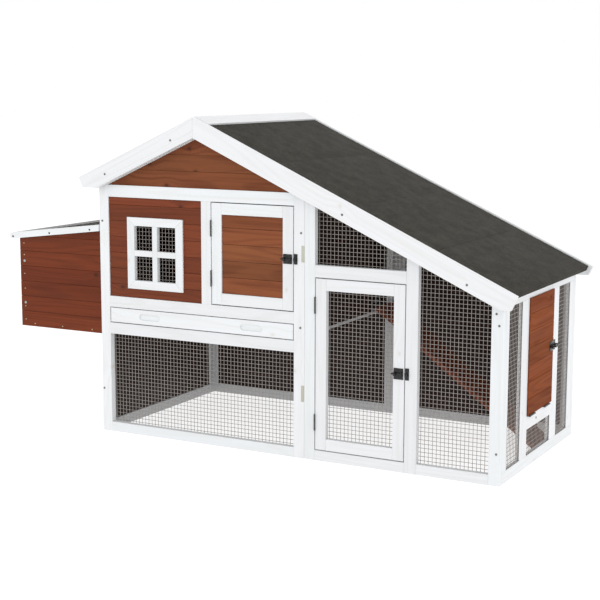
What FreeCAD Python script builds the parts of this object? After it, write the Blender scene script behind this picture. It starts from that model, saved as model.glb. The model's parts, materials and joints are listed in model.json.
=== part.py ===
import FreeCAD, Part
import math
import os
import Sketcher
from types import SimpleNamespace

V = FreeCAD.Vector

# A chicken coop: a planked house on the left above an open run, a run on the right under one long
# roof slope, a nest box on the left wall. Drawn from the left front corner of the body: x to the
# right, y to the back, z up, in millimetres, then moved so that the origin is the middle of the floor.
DIMS = {
    # body and frames
    "middle_x": 535.105,
    "middle_y": 346.375,
    "body_length": 1400,
    "body_depth": 694,
    "frame_t": 20,
    "seam": 0.1,
    "post_w": 35.5,
    "door_stile_x": 391.5,
    "house_stile_x": 724,
    "panel_joint_x": 761,
    "run_stile_x": 1098.5,
    "run_stile_w": 39,
    "bottom_rail_h": 32,
    "bay_top_z": 332,
    "tray_slot_z": 369,
    "tray_slot_top_z": 421.5,
    "clad_z": 458,
    "top_rail_z": 785,
    "gable_z": 824,
    "run_door_top_z": 571,
    "transom_top_z": 608.5,
    # planks and wire mesh
    "plank_pitch": 52.1,
    "plank_groove": 0.5,
    "first_plank_h": 42,
    "plank_t": 10,
    "plank_setback": 4,
    "wire_pitch": 12.7,
    "wire_d": 1.6,
    "wire_gap": 0.05,
    "mesh_overlap": 9,
    # roof
    "ridge_x": 382,
    "ridge_z": 1047,
    "roof_pitch": 24.4,
    "roof_left_length": 470,
    "roof_right_length": 1158,
    "roof_side_overhang": 13,
    "felt_depth": 4,
    "felt_t": 3,
    "roof_board_t": 12,
    "rake_w": 58.5,
    "rake_t": 18,
    "rake_left_end_x": -59,
    "rake_right_end_x": 1448.5,
    "rake_left_clip_z": 814,
    "rake_right_clip_z": 521,
    "rake_back_clip_z": 534,
    "felt_drip": 2.5,
    "gable_rail_w": 40,
    "ridge_board_w": 52,
    "ridge_board_t": 6,
    "felt_strip_1": 316,
    "felt_strip_2": 605,
    "felt_strip_3": 890,
    # window
    "window_x": 109.5,
    "window_z": 488.5,
    "window_w": 213,
    "window_h": 233.5,
    "trim_w": 27.5,
    "muntin_w": 19,
    "trim_t": 6,
    # keys let into the joint between the two front panels
    "key_w": 10.7,
    "key_h": 50.5,
    "key_t": 8,
    # doors
    "door_gap": 3,
    "door_t": 18,
    "door_member_w": 36,
    "ramp_door_y": 226.5,
    "ramp_door_w": 229,
    "ramp_door_z": 161,
    "ramp_door_top_z": 522.5,
    "ramp_door_t": 4,
    # run end panel
    "end_frame_t": 14,
    "end_rail_h": 36,
    "end_bay_1_y": 53.5,
    "end_bay_1_w": 113.5,
    "end_door_y": 231,
    "end_door_w": 221,
    "end_bay_3_y": 515.5,
    "end_bay_3_w": 113,
    "end_window_top_z": 118,
    "end_sill_top_z": 158,
    "end_bay_top_z": 520,
    "groove_inset": 5.5,
    "groove_w": 4,
    "groove_depth": 5,
    # hinges and bolts
    "knuckle_r": 2.4,
    "pin_r": 1.2,
    "pin_play": 0.06,
    "leaf_t": 1.2,
    "hinge_length": 51,
    "bolt_rod_r": 3,
    "bolt_plate_w": 31,
    "bolt_inset": 3,
    "bolt_plate_t": 1.2,
    "bolt_height": 5.5,
    "keeper_x": 37.2,
    "keeper_w": 12.5,
    "rod_tail": 5.5,
    # tray and its runners
    "runner_w": 40,
    "runner_h": 20,
    "runner_2_x": 362,
    "runner_3_x": 600,
    "tray_h": 47,
    "tray_reach": 655,
    "pan_t": 0.8,
    "pan_h": 34,
    "slot_w": 80,
    "slot_h": 20,
    "slot_depth": 5,
    "slot_1_x": 190.5,
    "slot_2_x": 572,
    "guide_w": 15,
    "guide_top_z": 405.5,
    # house inside
    "divider_rail_z": 389.5,
    "divider_rail_top_z": 398.5,
    "pop_hole_y": 438,
    "pop_hole_w": 164,
    "pop_hole_top_z": 700,
    "perch_r": 16,
    "perch_y": 400,
    "perch_z": 500,
    # ramp in the run
    "ramp_foot_x": 1346,
    "ramp_y": 449,
    "ramp_w": 140,
    "ramp_t": 14,
    "ramp_length": 688,
    "ramp_pitch": 36.2,
    # left wall and the nest box on it
    "left_post_w": 26,
    "nest_end_x": -347,
    "nest_y": 14,
    "nest_z": 325,
    "nest_t": 12,
    "nest_high_z": 664,
    "nest_post_w": 22,
    "lid_pitch": 6.9,
    "lid_length": 375.8,
    "lid_top_z": 690.5,
    "lid_wall_gap": 5.2,
    "lid_board_t": 9,
    "lid_trim_h": 21,
    "lid_recess": 7,
    "lid_trim_t": 12,
}


class Size:
    """A size of the sheet, or sums and products of such sizes: an expression and its value."""

    def __init__(self, text, value):
        self.text = text
        self.value = value

    def join(self, other, sign, swap=False):
        other = other if isinstance(other, Size) else Size(f"{other:g}", other)
        a, b = (other, self) if swap else (self, other)
        value = {"+": a.value + b.value, "-": a.value - b.value, "*": a.value * b.value}
        return Size(f"({a.text} {sign} {b.text})", value[sign])

    def __add__(self, other):
        return self.join(other, "+")

    def __radd__(self, other):
        return self.join(other, "+", True)

    def __sub__(self, other):
        return self.join(other, "-")

    def __rsub__(self, other):
        return self.join(other, "-", True)

    def __mul__(self, other):
        return self.join(other, "*")

    def __rmul__(self, other):
        return self.join(other, "*", True)

    def __neg__(self):
        return self * -1


def mm(number):
    return Size(f"{number:g}", number)


def cos(angle):
    return Size(f"cos({angle.text} * 1 deg)", math.cos(math.radians(angle.value)))


def sin(angle):
    return Size(f"sin({angle.text} * 1 deg)", math.sin(math.radians(angle.value)))


def slope(angle):
    return Size(f"tan({angle.text} * 1 deg)", math.tan(math.radians(angle.value)))


def over_cos(length, angle):
    value = length.value / math.cos(math.radians(angle.value))
    return Size(f"({length.text} / cos({angle.text} * 1 deg))", value)


doc = FreeCAD.newDocument("ChickenCoop")
sheet = doc.addObject("Spreadsheet::Sheet", "Dims")
for row, (alias, number) in enumerate(DIMS.items(), start=1):
    sheet.set(f"A{row}", alias)
    sheet.set(f"B{row}", str(number))
    sheet.setAlias(f"B{row}", alias)
doc.recompute()
D = SimpleNamespace(**{alias: Size(f"Dims.{alias}", number) for alias, number in DIMS.items()})
NODES = []


def bind(thing, prop, size):
    """Set a property from a Size, as an expression, or from a plain number."""
    if isinstance(size, Size):
        thing.setExpression(prop, size.text)
    else:
        names = prop.split(".")
        if len(names) == 1:
            setattr(thing, prop, size)
        else:
            place = thing.Placement
            setattr(place.Base, names[-1], size)
            thing.Placement = place


def put(thing, x, y, z, rotation=None):
    """Place a thing given from the body's left front corner."""
    thing.Placement = FreeCAD.Placement(V(0, 0, 0), rotation or FreeCAD.Rotation())
    bind(thing, "Placement.Base.x", x - D.middle_x)
    bind(thing, "Placement.Base.y", y - D.middle_y)
    bind(thing, "Placement.Base.z", z)
    return thing


def box(dx, dy, dz):
    thing = doc.addObject("Part::Box", "Board")
    bind(thing, "Length", dx)
    bind(thing, "Width", dy)
    bind(thing, "Height", dz)
    return thing


def board(x0, x1, y0, y1, z0, z1):
    """A square-cut board between these planes, less a seam on each side that isn't the ground."""
    on_ground = not isinstance(z0, Size)
    low = z0 if on_ground else z0 + D.seam
    thing = box(x1 - x0 - D.seam * 2, y1 - y0 - D.seam * 2, z1 - low - D.seam)
    return put(thing, x0 + D.seam, y0 + D.seam, low)


def cylinder(radius, length):
    thing = doc.addObject("Part::Cylinder", "Round")
    bind(thing, "Radius", radius)
    bind(thing, "Height", length)
    return thing


def cut(base, tool):
    thing = doc.addObject("Part::Cut", "Cut")
    thing.Base = base
    thing.Tool = tool
    return thing


def group(parts):
    thing = doc.addObject("Part::Compound", "Group")
    thing.Links = parts
    return thing


def fuse(parts):
    thing = doc.addObject("Part::MultiFuse", "Fused")
    thing.Shapes = parts
    return thing


def node(label, thing):
    """Name a finished sub-part, which is then written to a file of that name."""
    thing.Label = label
    NODES.append(thing)
    return thing


# --- roof planes -------------------------------------------------------------------------------

RIGHT = 1
LEFT = -1
ORIGIN = mm(0)
PAST_RIDGE = mm(-5)
SPARE = 90  # boards that the roof trims are first made this much too long
RAIL_START = mm(-40)  # the gable rails cross at the ridge before they are cut plumb there
RUN_RAIL_START = mm(200)
ALONG_Y = V(0, 1, 0)
ROOF_FRONT_Y = -D.roof_side_overhang
ROOF_BACK_Y = D.body_depth + D.roof_side_overhang
ROOF_UNDER = D.felt_depth + D.felt_t + D.roof_board_t


def on_slope(side, start, end, y0, y1, low, high):
    """A box on one roof slope: start and end down the slope from the ridge, low and high from the
    plane of the rake boards' top edges, upwards."""
    thing = box(end - start, y1 - y0, high - low)
    near = start if side == RIGHT else -end
    x = D.ridge_x + cos(D.roof_pitch) * near + sin(D.roof_pitch) * low * side
    z = D.ridge_z - sin(D.roof_pitch) * near * side + cos(D.roof_pitch) * low
    put(thing, x, y0, z, FreeCAD.Rotation(ALONG_Y, side * D.roof_pitch.value))
    bind(thing, "Placement.Rotation.Angle", D.roof_pitch * side)
    return thing


# what stands above the underside of each slope, to trim walls with
ABOVE_ROOF = {
    side: on_slope(side, mm(-600), D.roof_right_length + 600, mm(-200), D.body_depth + 200,
                   -ROOF_UNDER - D.seam, mm(500))
    for side in (LEFT, RIGHT)
}


def clear_of_ridge(side, thing):
    """Cut a sloping piece plumb at the ridge, so that the two slopes meet there."""
    past = D.seam if side == LEFT else -D.seam
    start = D.ridge_x - past - (ORIGIN if side == LEFT else D.ridge_z)
    return cut(thing, put(box(D.ridge_z, D.body_depth * 2, D.ridge_z * 2), start, mm(-300), ORIGIN))


def under_roof(thing):
    return cut(cut(thing, ABOVE_ROOF[LEFT]), ABOVE_ROOF[RIGHT])


def roof_top_z(x, side=RIGHT):
    """Height of the rake boards' top edge at x."""
    return D.ridge_z - slope(D.roof_pitch) * (x - D.ridge_x) * side


# --- planks and mesh ---------------------------------------------------------------------------


def planks(x0, x1, y0, y1, z0, z1):
    """Horizontal planks stacked from z0 to z1, the top one as narrow as what is left."""
    parts = []
    low = z0
    while z1.value - low.value > D.plank_groove.value * 2:
        high = low + D.plank_pitch
        top = high if high.value < z1.value else z1
        parts.append(board(x0, x1, y0, y1, low, top - D.plank_groove))
        low = high
    return parts


# A panel has up to eighty wires, so they are drawn here in one Part::Feature and not one by one.
def wire_panel(name, across, up, level, normal, top=None):
    """Welded mesh: upright wires in one layer, level wires in the next, just clear of each other.

    across and up are the (low, high) limits, level the place of the first layer along normal (X or
    Y). top(a) limits the height at a, for a panel under the roof slope."""
    radius = D.wire_d.value / 2
    pitch = D.wire_pitch.value
    low_a, high_a = across[0].value, across[1].value
    low_z, high_z = up[0].value, up[1].value
    at = level.value + radius
    behind = at + D.wire_d.value + D.wire_gap.value
    count_a = int((high_a - low_a) / pitch)
    count_z = int((high_z - low_z) / pitch)
    start_a = low_a + (high_a - low_a - count_a * pitch) / 2
    start_z = low_z + (high_z - low_z - count_z * pitch) / 2

    def point(a, depth, z):
        if normal == "Y":
            return V(a - D.middle_x.value, depth - D.middle_y.value, z)
        return V(depth - D.middle_x.value, a - D.middle_y.value, z)

    run = V(1, 0, 0) if normal == "Y" else V(0, 1, 0)
    wires = []
    for i in range(count_a + 1):
        a = start_a + i * pitch
        high = min(high_z, top(a)) if top else high_z
        if high - low_z > pitch:
            wires.append(Part.makeCylinder(radius, high - low_z, point(a, at, low_z), V(0, 0, 1)))
    for i in range(count_z + 1):
        z = start_z + i * pitch
        end = high_a
        while top and top(end) < z and end > low_a:
            end -= pitch / 4
        if end - low_a > pitch:
            wires.append(Part.makeCylinder(radius, end - low_a, point(low_a, behind, z), run))
    thing = doc.addObject("Part::Feature", name)
    thing.Shape = Part.makeCompound(wires)
    return thing


# --- the two front panels ----------------------------------------------------------------------

FRONT = (ORIGIN, D.frame_t)
BACK = (D.body_depth - D.frame_t, D.body_depth)
LINING = (FRONT[1], BACK[0])
HOUSE_RIGHT = D.panel_joint_x - D.seam
RUN_LEFT = D.panel_joint_x + D.seam
DOOR_STILE_END = D.door_stile_x + D.post_w
RUN_DOOR_X = D.panel_joint_x + D.post_w
RUN_BAY_X = D.run_stile_x + D.run_stile_w
END_POST_X = D.body_length - D.post_w
PLANKS_Y = (D.plank_setback, D.plank_setback + D.plank_t)


def gable_rails(side, start, end, y0, y1):
    """The frame rail that follows the roof slope, behind the rake board."""
    low = -ROOF_UNDER - D.gable_rail_w
    return on_slope(side, start, end, y0 + D.seam, y1 - D.seam, low, -ROOF_UNDER - D.seam)


KEYS_Z = (180, 614)
KEY_Y = D.seam * 5
# the hole in the planks behind the window trim
HOLE_X = (D.window_x + D.trim_w * 0.5, D.window_x + D.window_w - D.trim_w * 0.5)
HOLE_Z = (D.clad_z + D.first_plank_h, D.clad_z + D.first_plank_h + D.plank_pitch * 4)


def joining_key(z):
    return put(box(D.key_w, D.key_t, D.key_h), HOUSE_RIGHT - D.key_w, KEY_Y, mm(z))


def key_seat(z):
    """The notch for one joining key, open at the front and at the edge of the stile."""
    thing = box(D.key_w * 2, D.key_t * 2, D.key_h + D.seam * 2)
    return put(thing, HOUSE_RIGHT - D.key_w - D.seam, KEY_Y + D.seam - D.key_t, mm(z) - D.seam)


def house_front():
    y0, y1 = FRONT
    posts = [
        board(ORIGIN, D.post_w, y0, y1, 0, D.top_rail_z + SPARE),
        board(D.door_stile_x, DOOR_STILE_END, y0, y1, D.clad_z, D.top_rail_z),
    ]
    stile = board(D.house_stile_x, HOUSE_RIGHT, y0, y1, 0, roof_top_z(D.house_stile_x))
    for z in KEYS_Z:
        stile = cut(stile, key_seat(z))
    rails = [
        board(D.post_w, D.house_stile_x, y0, y1, z0, z1)
        for z0, z1 in (
            (0, D.bottom_rail_h),
            (D.bay_top_z, D.tray_slot_z),
            (D.tray_slot_top_z, D.clad_z),
            (D.top_rail_z, D.gable_z),
        )
    ]
    tops = []
    for side, edge in ((LEFT, D.ridge_x - D.post_w), (RIGHT, D.house_stile_x - D.ridge_x)):
        length = over_cos(edge, D.roof_pitch) + SPARE
        tops.append(gable_rails(side, RAIL_START, length, y0, y1))
    keep_right = put(box(D.body_length, D.body_depth, D.ridge_z), D.ridge_x + D.seam, y0 - 100, ORIGIN)
    keep_left = put(box(D.body_length, D.body_depth, D.ridge_z), D.ridge_x - D.body_length - D.seam,
                    y0 - 100, ORIGIN)
    meeting = [cut(tops[0], keep_right), cut(tops[1], keep_left)]
    above_rail = put(box(D.house_stile_x - D.post_w - D.seam * 2, D.frame_t, D.ridge_z),
                     D.post_w + D.seam, y0, D.gable_z + D.seam)
    trimmed = []
    for rail in meeting:
        common = doc.addObject("Part::Common", "Trimmed")
        common.Base = rail
        common.Tool = above_rail
        trimmed.append(common)
    node("house_front_frame", under_roof(group(posts + [stile] + rails + trimmed)))
    cladding = planks(D.post_w, D.door_stile_x, *PLANKS_Y, D.clad_z, HOLE_Z[0])
    cladding += planks(D.post_w, HOLE_X[0], *PLANKS_Y, *HOLE_Z)
    cladding += planks(HOLE_X[1], D.door_stile_x, *PLANKS_Y, *HOLE_Z)
    cladding += planks(D.post_w, D.door_stile_x, *PLANKS_Y, HOLE_Z[1], D.top_rail_z)
    node("house_front_cladding", group(cladding))
    gable = group(planks(D.post_w, D.house_stile_x, *PLANKS_Y, D.gable_z, D.ridge_z - 60))
    low = -ROOF_UNDER - D.gable_rail_w - D.seam
    for side in (LEFT, RIGHT):
        above = on_slope(side, mm(-600), D.roof_right_length, y0 - 100, y0 + 100, low, low + 400)
        gable = cut(gable, above)
    node("gable_cladding", gable)
    node("joining_keys", group([joining_key(z) for z in KEYS_Z]))


def mitred_bar(length, at, turn):
    """A trim with both ends cut at 45 degrees, its long edge along x and its thickness along z."""
    bar = doc.addObject("Part::Wedge", "MitredBar")
    for far, start in (("", D.seam), ("2", D.trim_w + D.seam)):
        bind(bar, f"X{far}min", start)
        bind(bar, f"X{far}max", length - start)
        bind(bar, f"Z{far}min", D.seam)
        bind(bar, f"Z{far}max", D.trim_t)
    bar.Ymin = 0
    bind(bar, "Ymax", D.trim_w)
    return put(bar, *at, turn)


def window():
    """A trim with two by two panes, planted on the cladding, a lining round the hole in the planks
    and the mesh behind it."""
    y0 = D.plank_setback - D.trim_t
    y1, y2 = PLANKS_Y
    x0, x1 = D.window_x, D.window_x + D.window_w
    z0, z1 = D.window_z, D.window_z + D.window_h
    in_x0, in_x1 = x0 + D.trim_w, x1 - D.trim_w
    in_z0, in_z1 = z0 + D.trim_w, z1 - D.trim_w
    mid_x = (in_x0 + in_x1) * 0.5
    mid_z = (in_z0 + in_z1) * 0.5
    half = D.muntin_w * 0.5
    ahead = V(0, -1, 0)
    bars = [
        mitred_bar(D.window_w, (x0, y1, z0), FreeCAD.Rotation(V(1, 0, 0), V(0, 0, 1), ahead, "XYZ")),
        mitred_bar(D.window_h, (x1, y1, z0), FreeCAD.Rotation(V(0, 0, 1), V(-1, 0, 0), ahead, "XYZ")),
        mitred_bar(D.window_w, (x1, y1, z1), FreeCAD.Rotation(V(-1, 0, 0), V(0, 0, -1), ahead, "XYZ")),
        mitred_bar(D.window_h, (x0, y1, z1), FreeCAD.Rotation(V(0, 0, -1), V(1, 0, 0), ahead, "XYZ")),
        board(mid_x - half, mid_x + half, y0, y2, in_z0, in_z1),
        board(in_x0, mid_x - half, y0, y2, mid_z - half, mid_z + half),
        board(mid_x + half, in_x1, y0, y2, mid_z - half, mid_z + half),
        board(HOLE_X[0], in_x0, y1, y2, *HOLE_Z),
        board(in_x1, HOLE_X[1], y1, y2, *HOLE_Z),
        board(in_x0, in_x1, y1, y2, HOLE_Z[0], in_z0),
        board(in_x0, in_x1, y1, y2, in_z1, HOLE_Z[1]),
    ]
    node("window_trim", group(bars))
    edge = D.trim_w * 0.25
    across = (in_x0 - edge * 3, in_x1 + edge * 3)
    up = (in_z0 - edge * 3, in_z1 + edge * 3)
    return wire_panel("WindowMesh", across, up, y2 + D.seam, "Y")


def house_lower_mesh():
    across = (D.frame_t + 3, D.house_stile_x + D.mesh_overlap)
    up = (D.bottom_rail_h - D.mesh_overlap, D.bay_top_z + D.mesh_overlap)
    return wire_panel("HouseLowerMesh", across, up, FRONT[1] + D.seam, "Y")


def run_front():
    y0, y1 = FRONT
    parts = [
        board(RUN_LEFT, RUN_DOOR_X, y0, y1, 0, roof_top_z(RUN_LEFT)),
        board(D.run_stile_x, RUN_BAY_X, y0, y1, 0, roof_top_z(D.run_stile_x)),
        board(END_POST_X, D.body_length, y0, y1, 0, roof_top_z(END_POST_X)),
        board(RUN_DOOR_X, D.run_stile_x, y0, y1, 0, D.bottom_rail_h),
        board(RUN_BAY_X, END_POST_X, y0, y1, 0, D.bottom_rail_h),
        board(RUN_DOOR_X, D.run_stile_x, y0, y1, D.run_door_top_z, D.transom_top_z),
    ]
    whole = gable_rails(RIGHT, RUN_RAIL_START, D.roof_right_length, y0, y1)
    for x0, x1 in ((RUN_DOOR_X, D.run_stile_x), (RUN_BAY_X, END_POST_X)):
        bay = put(box(x1 - x0 - D.seam * 2, D.frame_t, D.ridge_z), x0 + D.seam, y0, ORIGIN)
        rail = doc.addObject("Part::Common", "SlopingRail")
        rail.Base = whole
        rail.Tool = bay
        parts.append(rail)
    node("run_front_frame", under_roof(group(parts)))
    level = FRONT[1] + D.seam
    lap = D.mesh_overlap

    def below_rail(x):
        middle = over_cos(ROOF_UNDER + D.gable_rail_w * 0.6, D.roof_pitch).value
        return roof_top_z(mm(x)).value - middle

    transom = wire_panel("TransomMesh", (RUN_DOOR_X - lap, D.run_stile_x + lap),
                         (D.transom_top_z - lap, D.ridge_z), level, "Y", below_rail)
    bay = wire_panel("RunBayMesh", (RUN_BAY_X - lap, END_POST_X + lap),
                     (D.bottom_rail_h - lap, D.ridge_z), level, "Y", below_rail)
    node("run_front_mesh", group([transom, bay]))


# --- the end panel of the run ------------------------------------------------------------------


def run_end():
    """The frame of the end panel and its mesh, which is held in a groove round each bay."""
    x0, x1 = D.body_length - D.end_frame_t, D.body_length
    y_in, y_out = LINING
    edges = [
        (y_in, D.end_bay_1_y),
        (D.end_bay_1_y + D.end_bay_1_w, D.end_door_y),
        (D.end_door_y + D.end_door_w, D.end_bay_3_y),
        (D.end_bay_3_y + D.end_bay_3_w, y_out),
    ]
    parts = [board(x0, x1, y0, y1, D.end_rail_h, D.end_bay_top_z) for y0, y1 in edges]
    parts.append(board(x0, x1, y_in, y_out, 0, D.end_rail_h))
    parts.append(board(x0, x1, y_in, y_out, D.end_bay_top_z, D.end_bay_top_z + SPARE))
    parts.append(board(x0, x1, edges[1][1], edges[2][0], D.end_window_top_z, D.end_sill_top_z))
    parts.append(keeper_packer())
    bays = [
        ((edges[0][1], edges[1][0]), (D.end_rail_h, D.end_bay_top_z)),
        ((edges[1][1], edges[2][0]), (D.end_rail_h, D.end_window_top_z)),
        ((edges[2][1], edges[3][0]), (D.end_rail_h, D.end_bay_top_z)),
    ]
    groove_x = x1 - D.groove_inset
    deep = D.groove_depth
    into = deep - D.seam * 5
    frame = group(parts)
    panels = []
    for (y0, y1), (z0, z1) in bays:
        tool = box(D.groove_w, y1 - y0 + deep * 2, z1 - z0 + deep * 2)
        frame = cut(frame, put(tool, groove_x, y0 - deep, z0 - deep))
        across, up = (y0 - into, y1 + into), (z0 - into, z1 + into)
        panels.append(wire_panel("EndMesh", across, up, groove_x + D.seam * 5, "X"))
    node("run_end_frame", under_roof(frame))
    node("run_end_mesh", group(panels))


# --- left wall, back wall and the divider between house and run --------------------------------


def left_wall():
    x0, x1 = ORIGIN, D.frame_t
    y0, y1 = LINING
    post = D.left_post_w
    sill_z, sill_top_z = D.bay_top_z, D.bay_top_z + D.post_w
    head_z = D.lid_top_z - D.lid_trim_h
    top_z = D.top_rail_z + SPARE
    frame = [
        board(x0, x1, y0, y0 + post, 0, top_z),
        board(x0, x1, y1 - post, y1, 0, top_z),
        board(x0, x1, y0 + post, y1 - post, 0, D.bottom_rail_h),
        board(x0, x1, y0 + post, y1 - post, sill_z, sill_top_z),
        board(x0, x1, y0 + post, y1 - post, head_z, head_z + post),
        board(x0, x1, y0 + post, y1 - post, D.gable_z, top_z),
    ]
    node("left_wall_frame", under_roof(group(frame)))
    clad_x = (D.plank_setback, D.plank_setback + D.plank_t)
    lower = planks(*clad_x, y0 + post, y1 - post, D.bottom_rail_h, sill_z)
    upper = planks(*clad_x, y0 + post, y1 - post, head_z + post, D.gable_z)
    node("left_wall_cladding", group(lower + upper))


def back_wall():
    y0, y1 = BACK
    frame = [
        board(ORIGIN, D.post_w, y0, y1, 0, D.top_rail_z + SPARE),
        board(D.house_stile_x, HOUSE_RIGHT, y0, y1, 0, roof_top_z(D.house_stile_x)),
        board(RUN_LEFT, RUN_DOOR_X, y0, y1, 0, roof_top_z(RUN_LEFT)),
        board(END_POST_X, D.body_length, y0, y1, 0, roof_top_z(END_POST_X)),
        board(D.post_w, D.house_stile_x, y0, y1, 0, D.bottom_rail_h),
        board(D.post_w, D.house_stile_x, y0, y1, D.top_rail_z, D.gable_z),
        board(RUN_DOOR_X, END_POST_X, y0, y1, 0, D.bottom_rail_h),
    ]
    node("back_wall_frame", under_roof(group(frame)))
    clad_y = (y0 + D.plank_setback + 2, y1 - D.plank_setback)
    house_x = (D.post_w, D.house_stile_x)
    parts = planks(*house_x, *clad_y, D.bottom_rail_h, D.top_rail_z)
    parts += planks(*house_x, *clad_y, D.gable_z, D.ridge_z)
    parts += planks(RUN_DOOR_X, END_POST_X, *clad_y, D.bottom_rail_h, roof_top_z(RUN_DOOR_X))
    node("back_wall_cladding", under_roof(group(parts)))


def divider():
    """The wall between house and run, with the hens' doorway at the head of the ramp: planks on the
    side of the run with a frame behind them, and two posts right through beside the doorway."""
    x0, x2 = RUN_LEFT, RUN_LEFT + D.frame_t
    x1 = x2 - D.plank_t
    y0, y1 = LINING
    post = D.post_w
    jamb = post * 0.5
    hole_y0, hole_y1 = D.pop_hole_y, D.pop_hole_y + D.pop_hole_w
    foot, head = D.divider_rail_top_z, D.pop_hole_top_z
    top = roof_top_z(RUN_LEFT)
    frame = [
        board(x0, x2, y0, y1, D.divider_rail_z, foot),
        board(x0, x1, y0, y0 + post, foot, top),
        board(x0, x2, y1 - post, y1, foot, top),
        board(x0, x1, hole_y0 - jamb, hole_y0, foot, head),
        board(x0, x2, hole_y1, y1 - post, foot, head),
        board(x0, x1, y0 + post, y1 - post, head, head + post),
    ]
    node("divider_frame", under_roof(group(frame)))
    parts = planks(x1, x2, y0, hole_y0, foot, head)
    parts += planks(x1, x2, y0, y1 - post, head, top)
    node("divider_cladding", under_roof(group(parts)))


RUNNER_TOP_Z = D.tray_slot_z + D.door_gap * 0.5


def house_inside():
    y0, y1 = LINING
    low = RUNNER_TOP_Z - D.runner_h
    runners = [
        board(x, x + D.runner_w, y0, y1, low, RUNNER_TOP_Z)
        for x in (D.frame_t, D.runner_2_x, D.runner_3_x)
    ]
    right = D.house_stile_x
    runners.append(board(D.frame_t, D.frame_t + D.guide_w, y0, y1, RUNNER_TOP_Z, D.guide_top_z))
    runners.append(board(right, right + D.guide_w, y0, y1, low, D.guide_top_z))
    node("tray_runners", group(runners))
    perch = cylinder(D.perch_r, RUN_LEFT - D.frame_t - D.seam * 6)
    turn = FreeCAD.Rotation(ALONG_Y, 90)
    node("perch", put(perch, D.frame_t + D.seam * 3, D.perch_y, D.perch_z, turn))


# --- roof --------------------------------------------------------------------------------------


def roof():
    y0, y1 = ROOF_FRONT_Y + D.seam, ROOF_BACK_Y - D.seam
    felt = (-D.felt_depth - D.felt_t, -D.felt_depth)
    under = -ROOF_UNDER
    fold_low = under - D.felt_drip
    gap = D.seam * 2
    ends = {LEFT: ("left", D.roof_left_length), RIGHT: ("right", D.roof_right_length)}
    panels = [
        clear_of_ridge(side, on_slope(side, PAST_RIDGE * 2, length - D.felt_t - D.seam, y0, y1,
                                      under + D.seam, felt[0] - D.seam))
        for side, (_, length) in ends.items()
    ]
    node("roof_boards", group(panels))
    for side, (name, length) in ends.items():
        stops = [PAST_RIDGE, length]
        if side == RIGHT:
            strip_ends = (D.felt_strip_1, D.felt_strip_2, D.felt_strip_3)
            stops = [PAST_RIDGE] + [end + gap for end in strip_ends] + [length]
        strips = [
            on_slope(side, start, end - gap * (end is not length), y0, y1, *felt)
            for start, end in zip(stops, stops[1:])
        ]
        strips[0] = clear_of_ridge(side, strips[0])
        fold = on_slope(side, length - D.felt_t, length, y0, y1, fold_low, felt[0] - D.seam * 0.5)
        node(f"roof_felt_{name}", group(strips + [fold]))
    cap = [
        clear_of_ridge(side, on_slope(side, PAST_RIDGE, D.ridge_board_w, y0, y1, felt[1] + D.seam,
                                      felt[1] + D.ridge_board_t))
        for side in (LEFT, RIGHT)
    ]
    node("ridge_boards", group(cap))


def rake_board(side, y, right_clip_z):
    """One sloping board on the roof's end: plumb cut at the ridge, square cut and clipped level at
    the eave. The outline is drawn from the ridge outwards, so every distance is positive."""
    end_x, clip_z = {
        LEFT: (D.rake_left_end_x, D.rake_left_clip_z),
        RIGHT: (D.rake_right_end_x, right_clip_z),
    }[side]
    reach = (end_x - D.ridge_x) * side
    tip_z = D.ridge_z - slope(D.roof_pitch) * reach
    drop = over_cos(D.rake_w, D.roof_pitch)
    clip_reach = reach - (tip_z - clip_z) * slope(D.roof_pitch)
    under_value = (D.ridge_z.value - drop.value - clip_z.value) / slope(D.roof_pitch).value
    text = f"(({D.ridge_z.text} - {drop.text} - {clip_z.text}) / {slope(D.roof_pitch).text})"
    under_reach = Size(text, under_value)
    corners = [
        (D.seam, D.ridge_z - slope(D.roof_pitch) * D.seam),
        (D.seam, D.ridge_z - drop),
        (under_reach, clip_z),
        (clip_reach, clip_z),
        (reach, tip_z),
    ]
    body = doc.addObject("PartDesign::Body", "RakeBoard")
    sketch = body.newObject("Sketcher::SketchObject", "RakeOutline")
    plane = next(f for f in body.Origin.OriginFeatures if f.Role == "XZ_Plane")
    sketch.AttachmentSupport = [(plane, "")]
    sketch.MapMode = "FlatFace"
    points = [V(a.value, b.value, 0) for a, b in corners]
    for start, end in zip(points, points[1:] + points[:1]):
        sketch.addGeometry(Part.LineSegment(start, end), False)
    count = len(points)
    for i in range(count):
        sketch.addConstraint(Sketcher.Constraint("Coincident", i, 2, (i + 1) % count, 1))
    for i, (a, b) in enumerate(corners):
        for kind, size in (("DistanceX", a), ("DistanceY", b)):
            index = sketch.addConstraint(Sketcher.Constraint(kind, -1, 1, i, 1, size.value))
            sketch.setExpression(f"Constraints[{index}]", size.text)
    pad = body.newObject("PartDesign::Pad", "RakePad")
    pad.Profile = sketch
    bind(pad, "Length", D.rake_t)
    turn = FreeCAD.Rotation(V(0, 0, 1), 180) if side == LEFT else FreeCAD.Rotation()
    return put(body, D.ridge_x, y + (D.rake_t if side == RIGHT else ORIGIN), ORIGIN, turn)


def rakes():
    front_y = ROOF_FRONT_Y - D.rake_t
    for name, y, clip_z in (
        ("front", front_y, D.rake_right_clip_z),
        ("back", ROOF_BACK_Y, D.rake_back_clip_z),
    ):
        boards = [rake_board(side, y, clip_z) for side in (LEFT, RIGHT)]
        node(f"rake_boards_{name}", group(boards))


# --- hinges ------------------------------------------------------------------------------------

TO_DOOR = FreeCAD.Rotation()
TO_LID = FreeCAD.Rotation(V(-1, 0, 0), V(0, 0, -1), V(0, -1, 0), "XYZ")
TO_RAMP_DOOR = FreeCAD.Rotation(V(0, 0, 1), V(-1, 0, 0), V(0, -1, 0), "XYZ")


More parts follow.
